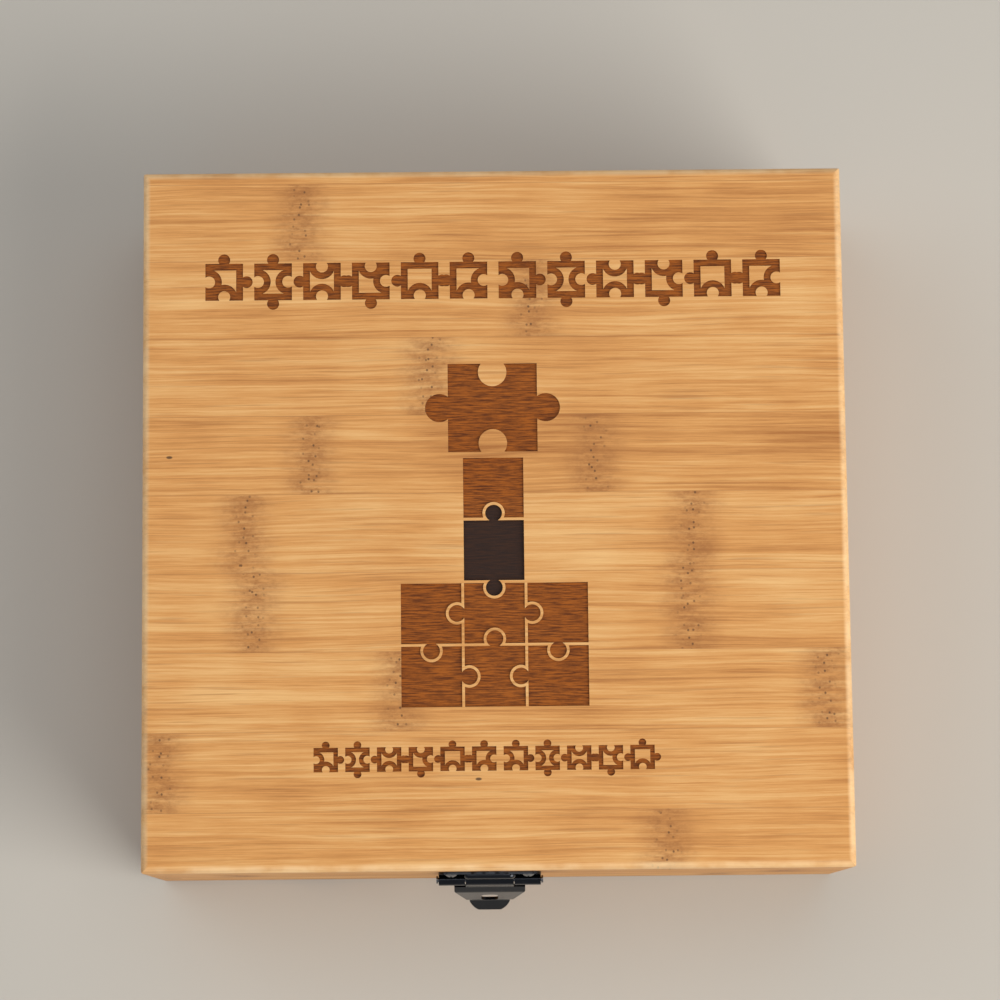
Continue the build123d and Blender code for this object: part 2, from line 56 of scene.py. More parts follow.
# %% [markdown]
# ## The camera
# The box lies on the floor and is seen from almost straight above, from a little in front of it.
# A long lens keeps the lid's edges nearly parallel. The camera is placed first, because the pieces of the
# box that face it need the most care.
# %% Camera
camera_place = Vector((-6, -132, 1050)) * MM
camera_target = Vector((1.4, 4.4, lid_top / MM)) * MM
camera_roll = math.radians(-0.6)  # the box stands a little askew in the view
camera = bpy.data.objects.new("camera", bpy.data.cameras.new("camera"))
camera.data.sensor_width = 36
camera.data.lens = 122.5
backward = (camera_place - camera_target).normalized()
rightward = Vector((0, 1, 0)).cross(backward).normalized()
upward = backward.cross(rightward)
facing = Matrix((rightward, upward, backward)).transposed().to_4x4()
camera.matrix_world = facing @ Matrix.Rotation(camera_roll, 4, "Z")
camera.location = camera_place
bpy.context.scene.collection.objects.link(camera)
bpy.context.scene.camera = camera
tilt = math.degrees((camera_place - camera_target).angle(Vector((0, 0, 1))))
print("camera", round(tilt, 1), "degrees off straight down")

# %% [markdown]
# ## The floor and the light
# A plain pale floor shows the box without distraction. Daylight from a window on the right is a large area
# light: the larger it is, the softer the shadow it leaves. A weaker, cooler one fills in from the left.
# %% Floor
floor_size = 6.0
floor_mesh = bpy.data.meshes.new("floor")
floor_corners = np.array([(-1, -1, 0), (1, -1, 0), (1, 1, 0), (-1, 1, 0)]) * floor_size / 2
floor_mesh.from_pydata(floor_corners.tolist(), [], [(0, 1, 2, 3)])
floor = bpy.data.objects.new("floor", floor_mesh)
bpy.context.scene.collection.objects.link(floor)
floor_paint = bpy.data.materials.new("floor_paint")
floor_paint.use_nodes = True
floor_paint.node_tree.nodes["Principled BSDF"].inputs["Base Color"].default_value = (0.52, 0.49, 0.44, 1)
floor_paint.node_tree.nodes["Principled BSDF"].inputs["Roughness"].default_value = 0.9
floor_mesh.materials.append(floor_paint)
print("floor", floor_size, "m square")


# %% Lights
def softbox(name, place, target, side, power, tint):
    """A square area light of that side in metres at a place, facing a target."""
    light = bpy.data.objects.new(name, bpy.data.lights.new(name, "AREA"))
    light.data.size = side
    light.data.energy = power
    light.data.color = tint
    light.location = place
    light.rotation_euler = (Vector(target) - Vector(place)).to_track_quat("-Z", "Y").to_euler()
    bpy.context.scene.collection.objects.link(light)


light_target = (0, 0, 0.05)
softbox("window", (1.45, -0.95, 1.15), light_target, 1.5, 42, (1.0, 0.97, 0.92))
softbox("room", (-1.4, 0.6, 1.5), light_target, 1.6, 10, (0.94, 0.97, 1.0))
softbox("overhead", (0.1, 0.5, 2.0), light_target, 1.4, 9, (1.0, 0.99, 0.97))
world = bpy.data.worlds.new("room_light")
world.use_nodes = True
world.node_tree.nodes["Background"].inputs["Color"].default_value = (0.93, 0.96, 1.0, 1)
world.node_tree.nodes["Background"].inputs["Strength"].default_value = 0.3
bpy.context.scene.world = world
bpy.context.scene.view_settings.view_transform = "Standard"  # so that a finish shows its own colour

# %% [markdown]
# ## A short way to write node trees
# A material is a tree of nodes joined by links. A small helper adds a node and joins its inputs in one line:
# an input may be a plain value or another node's output.


# %% Helper for node trees
class Wires:
    """Adds nodes to one tree, and joins them."""

    def __init__(self, tree):
        self.tree = tree

    def add(self, kind, inputs=None, **settings):
        """A node of that kind. inputs gives a value or an output for each input, by name or number."""
        made = self.tree.nodes.new("ShaderNode" + kind)
        for name, value in settings.items():
            setattr(made, name, value)
        for name, value in (inputs or {}).items():
            if isinstance(value, bpy.types.NodeSocket):
                self.tree.links.new(value, made.inputs[name])
            else:
                made.inputs[name].default_value = value
        return made

    def math(self, operation, *values):
        return self.add("Math", dict(enumerate(values)), operation=operation).outputs[0]

    def fade(self, value, low, high, to_low=0.0, to_high=1.0):
        """A smooth step: to_low below low, to_high above high."""
        inputs = {"Value": value, "From Min": low, "From Max": high, "To Min": to_low, "To Max": to_high}
        return self.add("MapRange", inputs, interpolation_type="SMOOTHSTEP").outputs[0]

    def mix(self, share, first, second, blend="MIX"):
        """Two colours mixed, or blended in another way, by a share from 0 to 1."""
        inputs = {0: share, 6: first, 7: second}
        return self.add("Mix", inputs, data_type="RGBA", blend_type=blend).outputs[2]

    def noise(self, place, scale, detail=2.0, rough=0.5):
        inputs = {"Vector": place, "Scale": scale, "Detail": detail, "Roughness": rough}
        return self.add("TexNoise", inputs).outputs[0]

    def stretch(self, place, factors):
        """A place with each of its parts multiplied."""
        return self.add("VectorMath", {0: place, 1: factors}, operation="MULTIPLY").outputs[0]

    def add_end(self, side):
        """The node that stands for a group's own inputs, or for its outputs."""
        return self.tree.nodes.new("NodeGroupInput" if side == "in" else "NodeGroupOutput")


def new_group(name, takes, gives):
    """An empty node group. takes and gives name its sockets: float, vector or colour."""
    kinds = {"float": "NodeSocketFloat", "vector": "NodeSocketVector", "color": "NodeSocketColor"}
    group = bpy.data.node_groups.new(name, "ShaderNodeTree")
    for label, kind in takes.items():
        group.interface.new_socket(label, in_out="INPUT", socket_type=kinds[kind])
    for label, kind in gives.items():
        group.interface.new_socket(label, in_out="OUTPUT", socket_type=kinds[kind])
    wires = Wires(group)
    return group, wires, wires.add_end("in"), wires.add_end("out")


def new_material(name):
    """A material and the wires and Principled shader of its tree."""
    material = bpy.data.materials.new(name)
    material.use_nodes = True
    return material, Wires(material.node_tree), material.node_tree.nodes["Principled BSDF"]


def place_group(wires, group, inputs):
    """One use of a node group, with its own values."""
    made = wires.tree.nodes.new("ShaderNodeGroup")
    made.node_tree = group
    for name, value in inputs.items():
        if isinstance(value, bpy.types.NodeSocket):
            wires.tree.links.new(value, made.inputs[name])
        else:
            made.inputs[name].default_value = value
    return made.outputs


print("helpers ready")

# %% [markdown]
# ## Bamboo board
# The board is edge-glued from flat strips of bamboo. Each strip has its own tone, long fine fibres, and
# here and there a growth ring, the darker band where the cane had a joint. The pattern is solid: it fills
# space, so the fibres run along the face and show as dots on the end grain, as in the real board.
# The group takes a place in millimetres whose first part runs along the fibres.

# %% Bamboo group
bamboo_takes = {"Place": "vector", "Strip": "float", "Tone": "float", "Seed": "float",
                "Ring A": "float", "Ring B": "float", "Ring Width": "float"}
bamboo_gives = {"Color": "color", "Roughness": "float", "Height": "float"}
bamboo, w, start, end = new_group("bamboo_board", bamboo_takes, bamboo_gives)
place = start.outputs["Place"]
parts = w.add("SeparateXYZ", {0: place}).outputs
strip_shift = w.math("MULTIPLY", w.math("ADD", start.outputs["Strip"], start.outputs["Seed"]), 37.7)
strip_offset = w.add("CombineXYZ", {0: strip_shift, 1: strip_shift, 2: 0.0}).outputs[0]
own_place = w.add("VectorMath", {0: place, 1: strip_offset}, operation="ADD").outputs[0]
wave = w.math("MULTIPLY", w.math("SUBTRACT", w.noise(w.stretch(own_place, (0.012, 0.04, 0.04)), 1.0, 2.0), 0.5), 3.6)
wave_shift = w.add("CombineXYZ", {0: 0.0, 1: wave, 2: 0.0}).outputs[0]
grain_place = w.add("VectorMath", {0: own_place, 1: wave_shift}, operation="ADD").outputs[0]
fibres = w.noise(w.stretch(grain_place, (0.012, 0.70, 0.70)), 1.6, 6.0, 0.80)
streaks = w.noise(w.stretch(grain_place, (0.009, 0.30, 0.30)), 1.0, 3.0, 0.6)
clouds = w.noise(w.stretch(own_place, (0.03, 0.06, 0.06)), 1.0, 2.0, 0.5)
pores = w.noise(w.stretch(grain_place, (0.035, 1.15, 1.15)), 1.0, 2.0, 0.5)
tone = start.outputs["Tone"]
for texture, strength in [(fibres, 2.0), (streaks, 0.9), (clouds, 0.8)]:
    tone = w.math("ADD", tone, w.math("MULTIPLY", w.math("SUBTRACT", texture, 0.5), strength))
shades = w.add("ValToRGB", {0: tone})
shades.color_ramp.elements[0].color = (0.40, 0.150, 0.034, 1)
shades.color_ramp.elements[1].color = (0.80, 0.47, 0.185, 1)
middle_shade = shades.color_ramp.elements.new(0.5)
middle_shade.color = (0.655, 0.305, 0.088, 1)

wobble_noise = w.noise(w.stretch(own_place, (0.02, 0.22, 0.22)), 1.0, 3.0, 0.6)
wobble = w.math("MULTIPLY", w.math("SUBTRACT", wobble_noise, 0.5), 11.0)
ring_grain = w.noise(w.stretch(grain_place, (0.12, 0.50, 0.50)), 1.0, 5.0, 0.72)
speck_place = w.stretch(own_place, (0.40, 0.36, 1.0))
specks = w.add("TexVoronoi", {"Vector": speck_place, "Scale": 1.0}, voronoi_dimensions="2D").outputs[0]
specks = w.fade(specks, 0.08, 0.17, 1.0, 0.0)


def ring_band(ring, reach):
    """How strongly a growth ring shows: full at its middle, and fading out over its width times reach."""
    off = w.math("ABSOLUTE", w.math("ADD", w.math("SUBTRACT", parts[0], start.outputs[ring]), wobble))
    return w.fade(w.math("DIVIDE", off, start.outputs["Ring Width"]), 0.0, reach, 1.0, 0.0)


rings = w.math("MAXIMUM", ring_band("Ring A", 0.85), ring_band("Ring B", 0.85))
cores = w.math("MAXIMUM", ring_band("Ring A", 0.32), ring_band("Ring B", 0.32))
rings = w.math("MULTIPLY", rings, w.fade(ring_grain, 0.33, 0.60, 0.25, 1.0))
crinkle = w.noise(w.stretch(own_place, (0.55, 0.75, 0.75)), 1.0, 2.0, 0.6)
rings = w.math("MULTIPLY", rings, w.fade(crinkle, 0.34, 0.64, 0.72, 1.10))
specks = w.math("MULTIPLY", specks, cores)
wood = w.mix(w.math("MULTIPLY", rings, 0.78), shades.outputs[0], (0.34, 0.130, 0.034, 1))
pore_share = w.math("MULTIPLY", w.fade(pores, 0.56, 0.74), 0.30)
wood = w.mix(pore_share, wood, (0.27, 0.105, 0.03, 1))
wood = w.mix(w.math("MULTIPLY", specks, 0.8), wood, (0.10, 0.042, 0.016, 1))
flaw_place = w.stretch(own_place, (0.008, 0.017, 1.0))
flaws = w.add("TexVoronoi", {"Vector": flaw_place, "Scale": 1.0}, voronoi_dimensions="2D").outputs[0]
wood = w.mix(w.fade(flaws, 0.005, 0.009, 0.85, 0.0), wood, (0.06, 0.025, 0.010, 1))
w.tree.links.new(wood, end.inputs["Color"])
w.tree.links.new(w.math("ADD", 0.44, w.math("MULTIPLY", fibres, 0.14)), end.inputs["Roughness"])
fibre_height = w.math("SUBTRACT", w.math("MULTIPLY", fibres, 0.5), w.math("MULTIPLY", rings, 0.2))
w.tree.links.new(fibre_height, end.inputs["Height"])
print("group", bamboo.name, len(bamboo.nodes), "nodes")

# %% [markdown]
# ### The lid
# The lid's strips are wide enough to read one by one, so each has a chosen tone and its growth rings are laid
# out along it in millimetres from the middle of the lid. A colour ramp with hard steps works as the list:
# red and green hold the places of a strip's two rings and blue its tone.

# %% How the lid's strips are laid out
strip_width = 23.0
first_seam = -85.4  # the front edge of the second strip
ramp_span = 300.0  # what the ramp's 0 to 1 stands for, in millimetres
far_away = 149.0  # beyond the lid: a strip with no such ring
# From the front to the back: tone, the place of one growth ring and of another.
lid_strips = [
    (0.60, 48, far_away), (0.53, -97, far_away), (0.56, -28, 95), (0.57, -70, 56), (0.60, -73, 57),
    (0.42, -53, 29), (0.52, -19, far_away), (0.56, 11, far_away), (0.52, -56, far_away), (0.50, far_away, far_away),
]
print("strips", len(lid_strips), "each", strip_width, "mm")


def board_parts(wires, along, across, seam_place, width):
    """The strip number at a point, and how near the point is to a glue line."""
    run = wires.math("DIVIDE", wires.math("SUBTRACT", across, seam_place), width)
    strip = wires.math("FLOOR", run)
    within = wires.math("SUBTRACT", run, strip)
    edge = wires.math("MULTIPLY", wires.math("MINIMUM", within, wires.math("SUBTRACT", 1.0, within)), width)
    return strip, wires.fade(edge, 0.06, 0.24, 1.0, 0.0)


def finish_wood(wires, shader, color, roughness, height, strength):
    """Lacquered wood: colour, roughness and a faint relief of the fibres."""
    relief = wires.add("Bump", {"Height": height, "Distance": 0.0002, "Strength": strength})
    wires.tree.links.new(color, shader.inputs["Base Color"])
    wires.tree.links.new(roughness, shader.inputs["Roughness"])
    wires.tree.links.new(relief.outputs[0], shader.inputs["Normal"])
    shader.inputs["Specular IOR Level"].default_value = 0.24
    shader.inputs["Coat Weight"].default_value = 0.06
    shader.inputs["Coat Roughness"].default_value = 0.3


# %% Lid material, with the burnt engraving
lid_wood, w, shader = new_material("lid_bamboo")
millimetres = w.stretch(w.add("TexCoord").outputs["Object"], METRES_TO_MM)
x, y, z = w.add("SeparateXYZ", {0: millimetres}).outputs
strip, seam = board_parts(w, x, y, first_seam, strip_width)
layout = w.add("ValToRGB", {0: w.math("DIVIDE", w.math("ADD", strip, 1.5), float(len(lid_strips)))})
layout.color_ramp.interpolation = "CONSTANT"
for number, (strip_tone, ring_a, ring_b) in enumerate(lid_strips):
    step = layout.color_ramp.elements
    stop = step[0] if number == 0 else step.new(number / len(lid_strips))
    stop.position = number / len(lid_strips)
    stop.color = (ring_a / ramp_span + 0.5, ring_b / ramp_span + 0.5, strip_tone, 1)
layout.color_ramp.elements.remove(layout.color_ramp.elements[-1])
ring_a, ring_b, strip_tone = w.add("SeparateColor", {0: layout.outputs[0]}).outputs
from_red = w.math("MULTIPLY", w.math("SUBTRACT", ring_a, 0.5), ramp_span)
from_green = w.math("MULTIPLY", w.math("SUBTRACT", ring_b, 0.5), ramp_span)
top = lid_top / MM
border = 99.0  # the engraving stays inside this
rim_highlight_start = 100.0  # from here outwards the rounded rim is painted pale cream, a painted highlight
board = place_group(w, bamboo, {"Place": millimetres, "Strip": strip, "Tone": strip_tone, "Seed": 3.0,
                                "Ring A": from_red, "Ring B": from_green, "Ring Width": 14.0})
burnt_below = 0.1  # wood this far below the top is burnt, in millimetres
charred_below = 0.6
engraved_zone = 2.0  # deeper than this is the inner face, which is bare
inside_x = w.math("LESS_THAN", w.math("ABSOLUTE", x), border)
inside_y = w.math("LESS_THAN", w.math("ABSOLUTE", y), border)
near_top = w.math("GREATER_THAN", z, top - engraved_zone)
burnt = w.math("MULTIPLY", w.math("MULTIPLY", inside_x, inside_y), near_top)
burnt = w.math("MULTIPLY", burnt, w.math("LESS_THAN", z, top - burnt_below))
charred = w.math("MULTIPLY", burnt, w.math("LESS_THAN", z, top - charred_below))
raster = w.noise(w.stretch(millimetres, (0.16, 2.3, 0.0)), 1.0, 4.0, 0.7)
burn_share = w.fade(raster, 0.25, 0.75, 1.0, 0.95)
burn_color = w.mix(w.fade(raster, 0.36, 0.64), (0.105, 0.022, 0.001, 1), (0.35, 0.088, 0.004, 1))
color = w.mix(w.math("MULTIPLY", seam, 0.26), board["Color"], (0.26, 0.10, 0.03, 1))
farthest = w.math("MAXIMUM", w.math("ABSOLUTE", x), w.math("ABSOLUTE", y))
# Painted highlight: the lid's rounded rim is painted pale cream, standing in for light catching the round-over.
painted_rim_highlight = w.math("MULTIPLY", w.fade(farthest, rim_highlight_start, rim_highlight_start + 1.4), w.fade(z, top - 2.6, top - 1.6))
painted_rim_highlight = w.math("MULTIPLY", painted_rim_highlight, w.fade(w.noise(millimetres, 0.09, 3.0, 0.6), 0.3, 0.65, 0.2, 0.55))
color = w.mix(painted_rim_highlight, color, (0.95, 0.70, 0.40, 1))
color = w.mix(w.math("MULTIPLY", burnt, burn_share), color, burn_color)
color = w.mix(w.math("MULTIPLY", charred, 0.92), color, (0.013, 0.008, 0.007, 1))
roughness = w.math("ADD", board["Roughness"], w.math("MULTIPLY", burnt, 0.3))
relief = w.math("ADD", board["Height"], w.math("MULTIPLY", w.math("MULTIPLY", burnt, raster), 1.6))
finish_wood(w, shader, color, roughness, relief, 0.5)
print("lid material", len(lid_wood.node_tree.nodes), "nodes")

# %% [markdown]
# ### The other boards
# The walls and the bottom come from the same board. Their strips take a tone and a growth ring from a
# random number each, so one recipe serves them all: only the direction of the fibres and the seed differ.


# %% Board materials
def board_material(name, along, across, depth, seed):
    """Bamboo board whose fibres run along one axis, with its strips side by side on another."""
    material, wires, shader = new_material(name)
    millimetres = wires.stretch(wires.add("TexCoord").outputs["Object"], METRES_TO_MM)
    axes = wires.add("SeparateXYZ", {0: millimetres}).outputs
    turned = wires.add("CombineXYZ", {0: axes[along], 1: axes[across], 2: axes[depth]}).outputs[0]
    strip, seam = board_parts(wires, axes[along], axes[across], first_seam, strip_width)
    random = wires.add("TexWhiteNoise", {"W": wires.math("ADD", strip, seed)}, noise_dimensions="1D")
    chance = wires.add("SeparateColor", {0: random.outputs["Color"]}).outputs
    inputs = {
        "Place": turned, "Strip": strip, "Seed": seed, "Ring Width": 12.0,
        "Tone": wires.math("ADD", 0.44, wires.math("MULTIPLY", chance[0], 0.16)),
        "Ring A": wires.math("MULTIPLY", wires.math("SUBTRACT", chance[1], 0.5), 200.0),
        "Ring B": wires.math("MULTIPLY", wires.math("SUBTRACT", chance[2], 0.5), 520.0),
    }
    board = place_group(wires, bamboo, inputs)
    color = wires.mix(wires.math("MULTIPLY", seam, 0.3), board["Color"], (0.26, 0.10, 0.03, 1))
    finish_wood(wires, shader, color, board["Roughness"], board["Height"], 0.5)
    return material


front_wood = board_material("front_and_back_bamboo", 0, 2, 1, 11.0)
side_wood = board_material("side_bamboo", 1, 2, 0, 23.0)
bottom_wood = board_material("bottom_bamboo", 0, 1, 2, 31.0)
print("boards", front_wood.name, side_wood.name, bottom_wood.name)

# %% [markdown]
# ## The metal
# The clasp and the hinges are thin stamped steel, plated gun-black and glossy. Handling leaves faint smudges
# and hairline scratches, which show in the gloss. One group makes both, and each metal sets how strong.

# %% Handling wear group
wear_gives = {"Gloss": "float", "Height": "float", "Rub": "float"}
wear, w, start, end = new_group("handling_wear", {"Amount": "float"}, wear_gives)
spot = w.stretch(w.add("TexCoord").outputs["Object"], METRES_TO_MM)
smudge = w.noise(spot, 0.35, 3.0, 0.6)
hairline = w.noise(w.stretch(spot, (0.25, 2.5, 6.0)), 1.0, 3.0, 0.7)
rub = w.math("MULTIPLY", w.fade(w.noise(spot, 0.8, 4.0, 0.7), 0.55, 0.75), start.outputs["Amount"])
gloss = w.math("MULTIPLY", w.math("ADD", smudge, w.math("MULTIPLY", hairline, 0.5)), start.outputs["Amount"])
w.tree.links.new(gloss, end.inputs["Gloss"])
w.tree.links.new(w.math("MULTIPLY", hairline, start.outputs["Amount"]), end.inputs["Height"])
w.tree.links.new(rub, end.inputs["Rub"])
print("group", wear.name, len(wear.nodes), "nodes")


# %% Metal materials
def metal(name, color, rubbed, roughness, amount):
    """Plated steel: dark where the plating is whole, lighter where it is rubbed."""
    material, wires, shader = new_material(name)
    worn = place_group(wires, wear, {"Amount": amount})
    wires.tree.links.new(wires.mix(worn["Rub"], color, rubbed), shader.inputs["Base Color"])
    gloss = wires.math("ADD", roughness, wires.math("MULTIPLY", worn["Gloss"], 0.22))
    wires.tree.links.new(gloss, shader.inputs["Roughness"])
    relief = wires.add("Bump", {"Height": worn["Height"], "Distance": 0.00005, "Strength": 0.25})
    wires.tree.links.new(relief.outputs[0], shader.inputs["Normal"])
    shader.inputs["Metallic"].default_value = 1.0
    shader.inputs["Coat Weight"].default_value = 0.25
    shader.inputs["Coat Roughness"].default_value = 0.06
    return material


gun_black = metal("gun_black_steel", (0.026, 0.028, 0.034, 1), (0.07, 0.07, 0.075, 1), 0.13, 0.45)
screw_steel = metal("screw_steel", (0.20, 0.20, 0.21, 1), (0.46, 0.46, 0.47, 1), 0.16, 0.5)
print("metals", gun_black.name, screw_steel.name)

# %% Give the boards and the metal their materials
finishes = {
    lid_wood: ["lid_panel"],
    front_wood: ["base_front_wall", "base_back_wall", "lid_front_rail", "lid_back_rail"],
    side_wood: ["base_left_wall", "base_right_wall", "lid_left_rail", "lid_right_rail"],
    bottom_wood: ["base_panel"],
    gun_black: ["left_hinge_lid_leaf", "right_hinge_lid_leaf", "left_hinge_base_leaf", "right_hinge_base_leaf",
                "hasp_plate", "hasp_tongue", "catch_plate", "catch_stud"],
    screw_steel: ["left_hinge_pin", "right_hinge_pin", "hasp_pin", "hinge_lid_screws", "hinge_base_screws",
                  "hasp_screws", "catch_screws"],
}
for material, names in finishes.items():
    for name in names:
        nodes[name].data.materials.clear()
        nodes[name].data.materials.append(material)
print("finished nodes", sum(len(names) for names in finishes.values()))

# %% [markdown]
# ## The printed card
# A jigsaw piece is die-cut board about two millimetres thick: a varnished print on one side, bare grey-brown
# board on the other, and a layered edge between them. The picture is made of soft generic patches of
# colour, because each piece shows only a scrap of it. Three things are stored with the faces: which side a
# face is, a random tone for its piece, and where in the picture its piece comes from.

# %% Card material
card, w, shader = new_material("puzzle_card")
object_mm = w.stretch(w.add("TexCoord").outputs["Object"], METRES_TO_MM)
side = w.add("Attribute", {}, attribute_name="card_side", attribute_type="GEOMETRY").outputs["Fac"]
piece_tone = w.add("Attribute", {}, attribute_name="piece_tone", attribute_type="GEOMETRY").outputs["Fac"]
origin = w.add("Attribute", {}, attribute_name="picture_place", attribute_type="GEOMETRY").outputs["Vector"]
scrap = w.add("VectorMath", {0: w.stretch(object_mm, (0.05, 0.05, 0.02)), 1: origin}, operation="ADD").outputs[0]
patch = w.noise(scrap, 1.0, 4.0, 0.62)
piece_share = w.math("MULTIPLY", piece_tone, 0.75)
patch_share = w.math("MULTIPLY", w.math("SUBTRACT", patch, 0.37), 0.9)
picture = w.add("ValToRGB", {0: w.math("ADD", piece_share, patch_share)})
ramp = picture.color_ramp
ramp.elements[0].color = (0.03, 0.09, 0.03, 1)
ramp.elements[1].color = (0.75, 0.85, 0.95, 1)
printed_colors = [
    (0.2, (0.10, 0.22, 0.06, 1)), (0.38, (0.36, 0.30, 0.17, 1)), (0.52, (0.62, 0.52, 0.38, 1)),
    (0.66, (0.20, 0.42, 0.70, 1)), (0.84, (0.38, 0.62, 0.86, 1)),
]
for stop_place, stop_color in printed_colors:
    ramp.elements.new(stop_place).color = stop_color
fleck = w.noise(object_mm, 3.0, 2.0, 0.6)
back = w.mix(w.fade(fleck, 0.4, 0.7), (0.43, 0.37, 0.29, 1), (0.54, 0.48, 0.39, 1))
layers = w.noise(w.stretch(object_mm, (0.3, 0.3, 5.0)), 1.0, 2.0, 0.5)
edge = w.mix(w.fade(layers, 0.35, 0.65), (0.34, 0.29, 0.22, 1), (0.58, 0.52, 0.43, 1))
is_print = w.math("GREATER_THAN", side, 1.5)
is_back = w.math("COMPARE", side, 1.0, 0.4)
color = w.mix(is_back, edge, back)
color = w.mix(is_print, color, picture.outputs[0])
w.tree.links.new(color, shader.inputs["Base Color"])
w.tree.links.new(w.math("SUBTRACT", 0.85, w.math("MULTIPLY", is_print, 0.5)), shader.inputs["Roughness"])
relief = w.add("Bump", {"Height": w.noise(object_mm, 1.5, 3.0, 0.6), "Distance": 0.0001, "Strength": 0.35})
w.tree.links.new(relief.outputs[0], shader.inputs["Normal"])
print("card", len(card.node_tree.nodes), "nodes")


# %% [markdown]
# ## The loose pieces
# The uppermost pieces are solids of the frame, each lying where it came to rest. Its triangles are copied,
# merged and dissolved into whole faces, so that a bevel can round the rims as the cutting die does.
# Which triangles belong to one piece is found by letting the lowest vertex number spread along the edges.


# %% Tell one piece from the next
def connected(mesh):
    """For each vertex, the number of its piece: the lowest vertex number reached along the edges."""
    edges = np.zeros(len(mesh.edges) * 2, np.int64)
    mesh.edges.foreach_get("vertices", edges)
    edges = edges.reshape(-1, 2)
    labels = np.arange(len(mesh.vertices))
    while True:
        low = labels.copy()
        np.minimum.at(low, edges[:, 0], labels[edges[:, 1]])
        np.minimum.at(low, edges[:, 1], labels[edges[:, 0]])
        low = low[low]
        if (low == labels).all():
            return np.unique(labels, return_inverse=True)[1]
        labels = low


def store(mesh, name, kind, values):
    """Keeps a number or a vector with each face."""
    attribute = mesh.attributes.new(name, kind, "FACE")
    values = np.ravel(values).astype(np.float32)
    attribute.data.foreach_set("value" if kind == "FLOAT" else "vector", values)


def mark_faces(mesh, piece_of_face, upright, flat_face, seed):
    """Stores the side, tone and picture place of each face. A flat face that looks up is printed if upright is 1."""
    count = int(piece_of_face.max()) + 1
    chance = np.random.default_rng(seed)
    tones = chance.random(count)
    places = chance.uniform(0, 60, (count, 3))
    normals = np.zeros(len(mesh.polygons) * 3, np.float32)
    mesh.polygons.foreach_get("normal", normals)
    up = normals.reshape(-1, 3)[:, 2]
    printed = (up > flat_face) == (upright[piece_of_face] > 0.5)
    sides = np.where(np.abs(up) < flat_face, 0.0, np.where(printed, 2.0, 1.0))
    store(mesh, "card_side", "FLOAT", sides)
    store(mesh, "piece_tone", "FLOAT", tones[piece_of_face])
    store(mesh, "picture_place", "FLOAT_VECTOR", places[piece_of_face])


# %% Copy the frame's loose pieces
flat_face_up = 0.6
rim_round = 0.25 * MM


def loose_copy(name, node, picture_up, seed):
    """A merged copy of one node's pieces, with its faces marked and its rims rounded."""
    mesh = nodes[node].data.copy()
    mesh.name = name
    work = bmesh.new()
    work.from_mesh(mesh)
    bmesh.ops.remove_doubles(work, verts=work.verts, dist=1e-6)
    bmesh.ops.dissolve_limit(work, angle_limit=math.radians(1), verts=work.verts, edges=work.edges)
    work.to_mesh(mesh)
    work.free()
    mesh.shade_flat()
    labels = connected(mesh)
    starts = np.zeros(len(mesh.polygons), np.int32)
    mesh.polygons.foreach_get("loop_start", starts)
    corners = np.zeros(len(mesh.loops), np.int32)
    mesh.loops.foreach_get("vertex_index", corners)
    first_vertex = corners[starts]
    piece_of_face = labels[first_vertex]
    upright = np.full(int(labels.max()) + 1, 1.0 if picture_up else 0.0)
    mark_faces(mesh, piece_of_face, upright, flat_face_up, seed)
    piece = bpy.data.objects.new(name, mesh)
    bpy.context.scene.collection.objects.link(piece)
    mesh.materials.clear()
    mesh.materials.append(card)
    bevel = piece.modifiers.new("die_cut_rim", "BEVEL")
    bevel.width = rim_round
    bevel.segments = 2
    bevel.limit_method = "ANGLE"
    bevel.angle_limit = math.radians(50)
    bevel.use_clamp_overlap = True
    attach(piece, "base")
    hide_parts(node)
    print(name, int(labels.max()) + 1, "pieces", len(mesh.polygons), "faces")


loose_copy("loose_corner_pieces", "corner_pieces", True, 1)
loose_copy("loose_edge_pieces", "edge_pieces", True, 2)
loose_copy("loose_pieces_picture_up", "picture_up_pieces", True, 3)
loose_copy("loose_pieces_picture_down", "picture_down_pieces", False, 4)

# %% [markdown]
# ## The settled pieces
# Under the loose ones lie the rest of the thousand. They are laid in flat layers: the lower layers are close
# together, each piece's knob pointing at its neighbour's hollow, and the uppermost are strewn at any turn.
# A piece's outline is a square whose sides carry a round knob or hollow: along a side, a few points
# on a circle that stands out, or in, from it. With so many of them each has only a few dozen faces.

# %% Sizes of the settled pieces
low_corner, high_corner = (np.array(corner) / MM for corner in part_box("settled_pieces"))
total_pieces = 1000
frame_pieces = 206  # the loose ones, which the frame holds
settled_count = total_pieces - frame_pieces
pitch = 17.0
card_thickness = 1.8
knob_radius = 2.7
knob_centre = 1.6
dense_layers = 9
dense_side = 9
strewn_side = 6
dense_margin = 22.0  # the room less this is the span between the outermost dense pieces
strewn_margin = 29.0
dense_wander, strewn_wander = 0.3, 1.2
dense_turn = 1.5  # degrees
picture_up_share = 0.62
layer_count = dense_layers + 2
layer_pitch = (high_corner[2] - low_corner[2] - card_thickness) / (layer_count - 1)
print("settled", settled_count, "pieces in", layer_count, "layers", round(layer_pitch, 2), "mm apart")


# %% Outlines as arrays
def outlines(kinds):
    """Outlines of many pieces: kinds is 1 for a knob and -1 for a hollow on each of four sides.
    Along a side the points are a corner, then a circle of knob_radius about (0, knob_centre), swept over its
    outer part. The side's distance out is multiplied by its kind, and each side is a quarter turn on from
    the last."""
    sweep = np.radians(np.linspace(205, -25, 6))
    along = np.concatenate([[-pitch / 2], knob_radius * np.cos(sweep)])
    out = np.concatenate([[0.0], knob_centre + knob_radius * np.sin(sweep)])
    outward = pitch / 2 + out[None, None, :] * kinds[:, :, None]
    turn = np.radians(90 * np.arange(4))[None, :, None]
    x = outward * np.cos(turn) + along[None, None, :] * -np.sin(turn)
    y = outward * np.sin(turn) + along[None, None, :] * np.cos(turn)
    return np.stack([x, y], -1).reshape(len(kinds), -1, 2)


